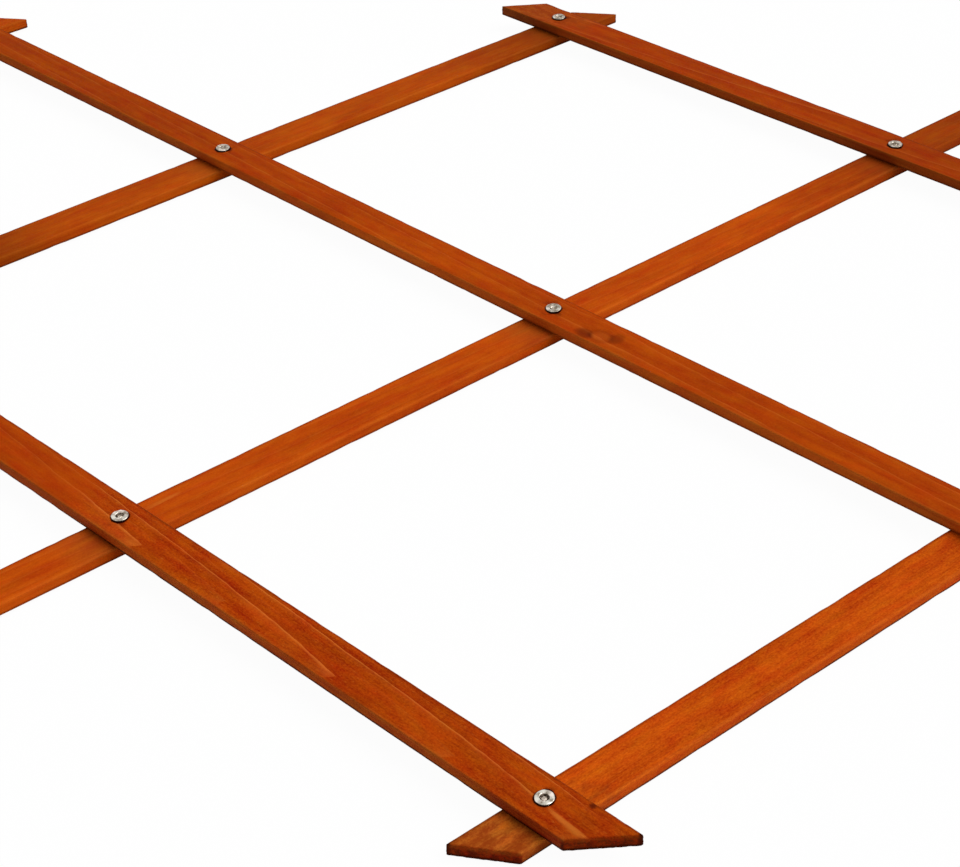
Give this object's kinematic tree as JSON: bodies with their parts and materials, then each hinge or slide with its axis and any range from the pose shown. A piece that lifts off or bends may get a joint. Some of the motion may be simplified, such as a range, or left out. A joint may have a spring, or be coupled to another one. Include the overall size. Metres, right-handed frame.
{
  "type": "expanding trellis panel",
  "caption": "Expanding wooden garden trellis: crossed layers of mitred stained slats, riveted at every crossing, that fold together as a scissor lattice to hold climbing plants.",
  "frame": {"origin": "middle of the opened panel, on the plane of the flat rivet heads that it lies on", "axes": "+X along the panel's length, +Y across it, +Z out of the front, where the rivets are rolled over"},
  "size_m": [1.7612, 0.6362, 0.0136],
  "materials": {
    "front_slat_wood": "thin orange-brown stain on planed softwood, satin",
    "back_slat_wood": "thin orange-brown stain on planed softwood, satin",
    "rivet_metal": "bright zinc on steel, burnished where it was rolled over"
  },
  "bodies": {
    "front_1": {"front_slat_1": "front_slat_wood", "rivet_row1_1": "rivet_metal", "rivet_row2_1": "rivet_metal"},
    "front_2": {"front_slat_2": "front_slat_wood", "rivet_row1_2": "rivet_metal", "rivet_row2_2": "rivet_metal", "rivet_row3_1": "rivet_metal", "rivet_row4_1": "rivet_metal"},
    "front_3": {"front_slat_3": "front_slat_wood", "rivet_row1_3": "rivet_metal", "rivet_row2_3": "rivet_metal", "rivet_row3_2": "rivet_metal", "rivet_row4_2": "rivet_metal", "rivet_row5_1": "rivet_metal"},
    "front_4": {"front_slat_4": "front_slat_wood", "rivet_row1_4": "rivet_metal", "rivet_row2_4": "rivet_metal", "rivet_row3_3": "rivet_metal", "rivet_row4_3": "rivet_metal", "rivet_row5_2": "rivet_metal"},
    "front_5": {"front_slat_5": "front_slat_wood", "rivet_row1_5": "rivet_metal", "rivet_row2_5": "rivet_metal", "rivet_row3_4": "rivet_metal", "rivet_row4_4": "rivet_metal", "rivet_row5_3": "rivet_metal"},
    "front_6": {"front_slat_6": "front_slat_wood", "rivet_row2_6": "rivet_metal", "rivet_row3_5": "rivet_metal", "rivet_row4_5": "rivet_metal", "rivet_row5_4": "rivet_metal"},
    "front_7": {"front_slat_7": "front_slat_wood", "rivet_row4_6": "rivet_metal", "rivet_row5_5": "rivet_metal"},
    "back_1": {"back_slat_1": "back_slat_wood"},
    "back_2": {"back_slat_2": "back_slat_wood"},
    "back_3": {"back_slat_3": "back_slat_wood"},
    "back_4": {"back_slat_4": "back_slat_wood"},
    "back_5": {"back_slat_5": "back_slat_wood"},
    "back_6": {"back_slat_6": "back_slat_wood"},
    "back_7": {"back_slat_7": "back_slat_wood"}
  },
  "joints": [
    {"name": "fold", "type": "hinge", "parent": "front_4", "child": "back_4", "pos_m": [0, 0, 0.00685], "axis": [0, 0, 1], "range_deg": [-77, 93]},
    {"name": "back_6_pivot", "type": "hinge", "parent": "front_4", "child": "back_6", "pos_m": [0.34415, -0.29916, 0.00685], "axis": [0, 0, 1], "range_deg": [-77, 93]},
    {"name": "back_5_pivot", "type": "hinge", "parent": "front_4", "child": "back_5", "pos_m": [0.17207, -0.14958, 0.00685], "axis": [0, 0, 1], "range_deg": [-77, 93]},
    {"name": "back_3_pivot", "type": "hinge", "parent": "front_4", "child": "back_3", "pos_m": [-0.17207, 0.14958, 0.00685], "axis": [0, 0, 1], "range_deg": [-77, 93]},
    {"name": "back_2_pivot", "type": "hinge", "parent": "front_4", "child": "back_2", "pos_m": [-0.34415, 0.29916, 0.00685], "axis": [0, 0, 1], "range_deg": [-77, 93]},
    {"name": "front_3_pivot", "type": "hinge", "parent": "back_4", "child": "front_3", "pos_m": [-0.17207, -0.14958, 0.00685], "axis": [0, 0, 1], "range_deg": [-93, 77]},
    {"name": "front_5_pivot", "type": "hinge", "parent": "back_4", "child": "front_5", "pos_m": [0.17207, 0.14958, 0.00685], "axis": [0, 0, 1], "range_deg": [-93, 77]},
    {"name": "front_6_pivot", "type": "hinge", "parent": "back_4", "child": "front_6", "pos_m": [0.34415, 0.29916, 0.00685], "axis": [0, 0, 1], "range_deg": [-93, 77]},
    {"name": "front_2_pivot", "type": "hinge", "parent": "back_4", "child": "front_2", "pos_m": [-0.34415, -0.29916, 0.00685], "axis": [0, 0, 1], "range_deg": [-93, 77]},
    {"name": "front_7_pivot", "type": "hinge", "parent": "back_5", "child": "front_7", "pos_m": [0.68829, 0.29916, 0.00685], "axis": [0, 0, 1], "range_deg": [-93, 77]},
    {"name": "front_1_pivot", "type": "hinge", "parent": "back_3", "child": "front_1", "pos_m": [-0.68829, -0.29916, 0.00685], "axis": [0, 0, 1], "range_deg": [-93, 77]},
    {"name": "back_1_pivot", "type": "hinge", "parent": "front_3", "child": "back_1", "pos_m": [-0.68829, 0.29916, 0.00685], "axis": [0, 0, 1], "range_deg": [-77, 93]},
    {"name": "back_7_pivot", "type": "hinge", "parent": "front_5", "child": "back_7", "pos_m": [0.68829, -0.29916, 0.00685], "axis": [0, 0, 1], "range_deg": [-77, 93]}
  ],
  "couplings": [
    {"joint": "back_6_pivot", "follows": "fold", "ratio": 1},
    {"joint": "back_5_pivot", "follows": "fold", "ratio": 1},
    {"joint": "back_3_pivot", "follows": "fold", "ratio": 1},
    {"joint": "back_2_pivot", "follows": "fold", "ratio": 1},
    {"joint": "front_3_pivot", "follows": "fold", "ratio": -1},
    {"joint": "front_5_pivot", "follows": "fold", "ratio": -1},
    {"joint": "front_6_pivot", "follows": "fold", "ratio": -1},
    {"joint": "front_2_pivot", "follows": "fold", "ratio": -1},
    {"joint": "front_7_pivot", "follows": "fold", "ratio": -1},
    {"joint": "front_1_pivot", "follows": "fold", "ratio": -1},
    {"joint": "back_1_pivot", "follows": "fold", "ratio": 1},
    {"joint": "back_7_pivot", "follows": "fold", "ratio": 1}
  ]
}
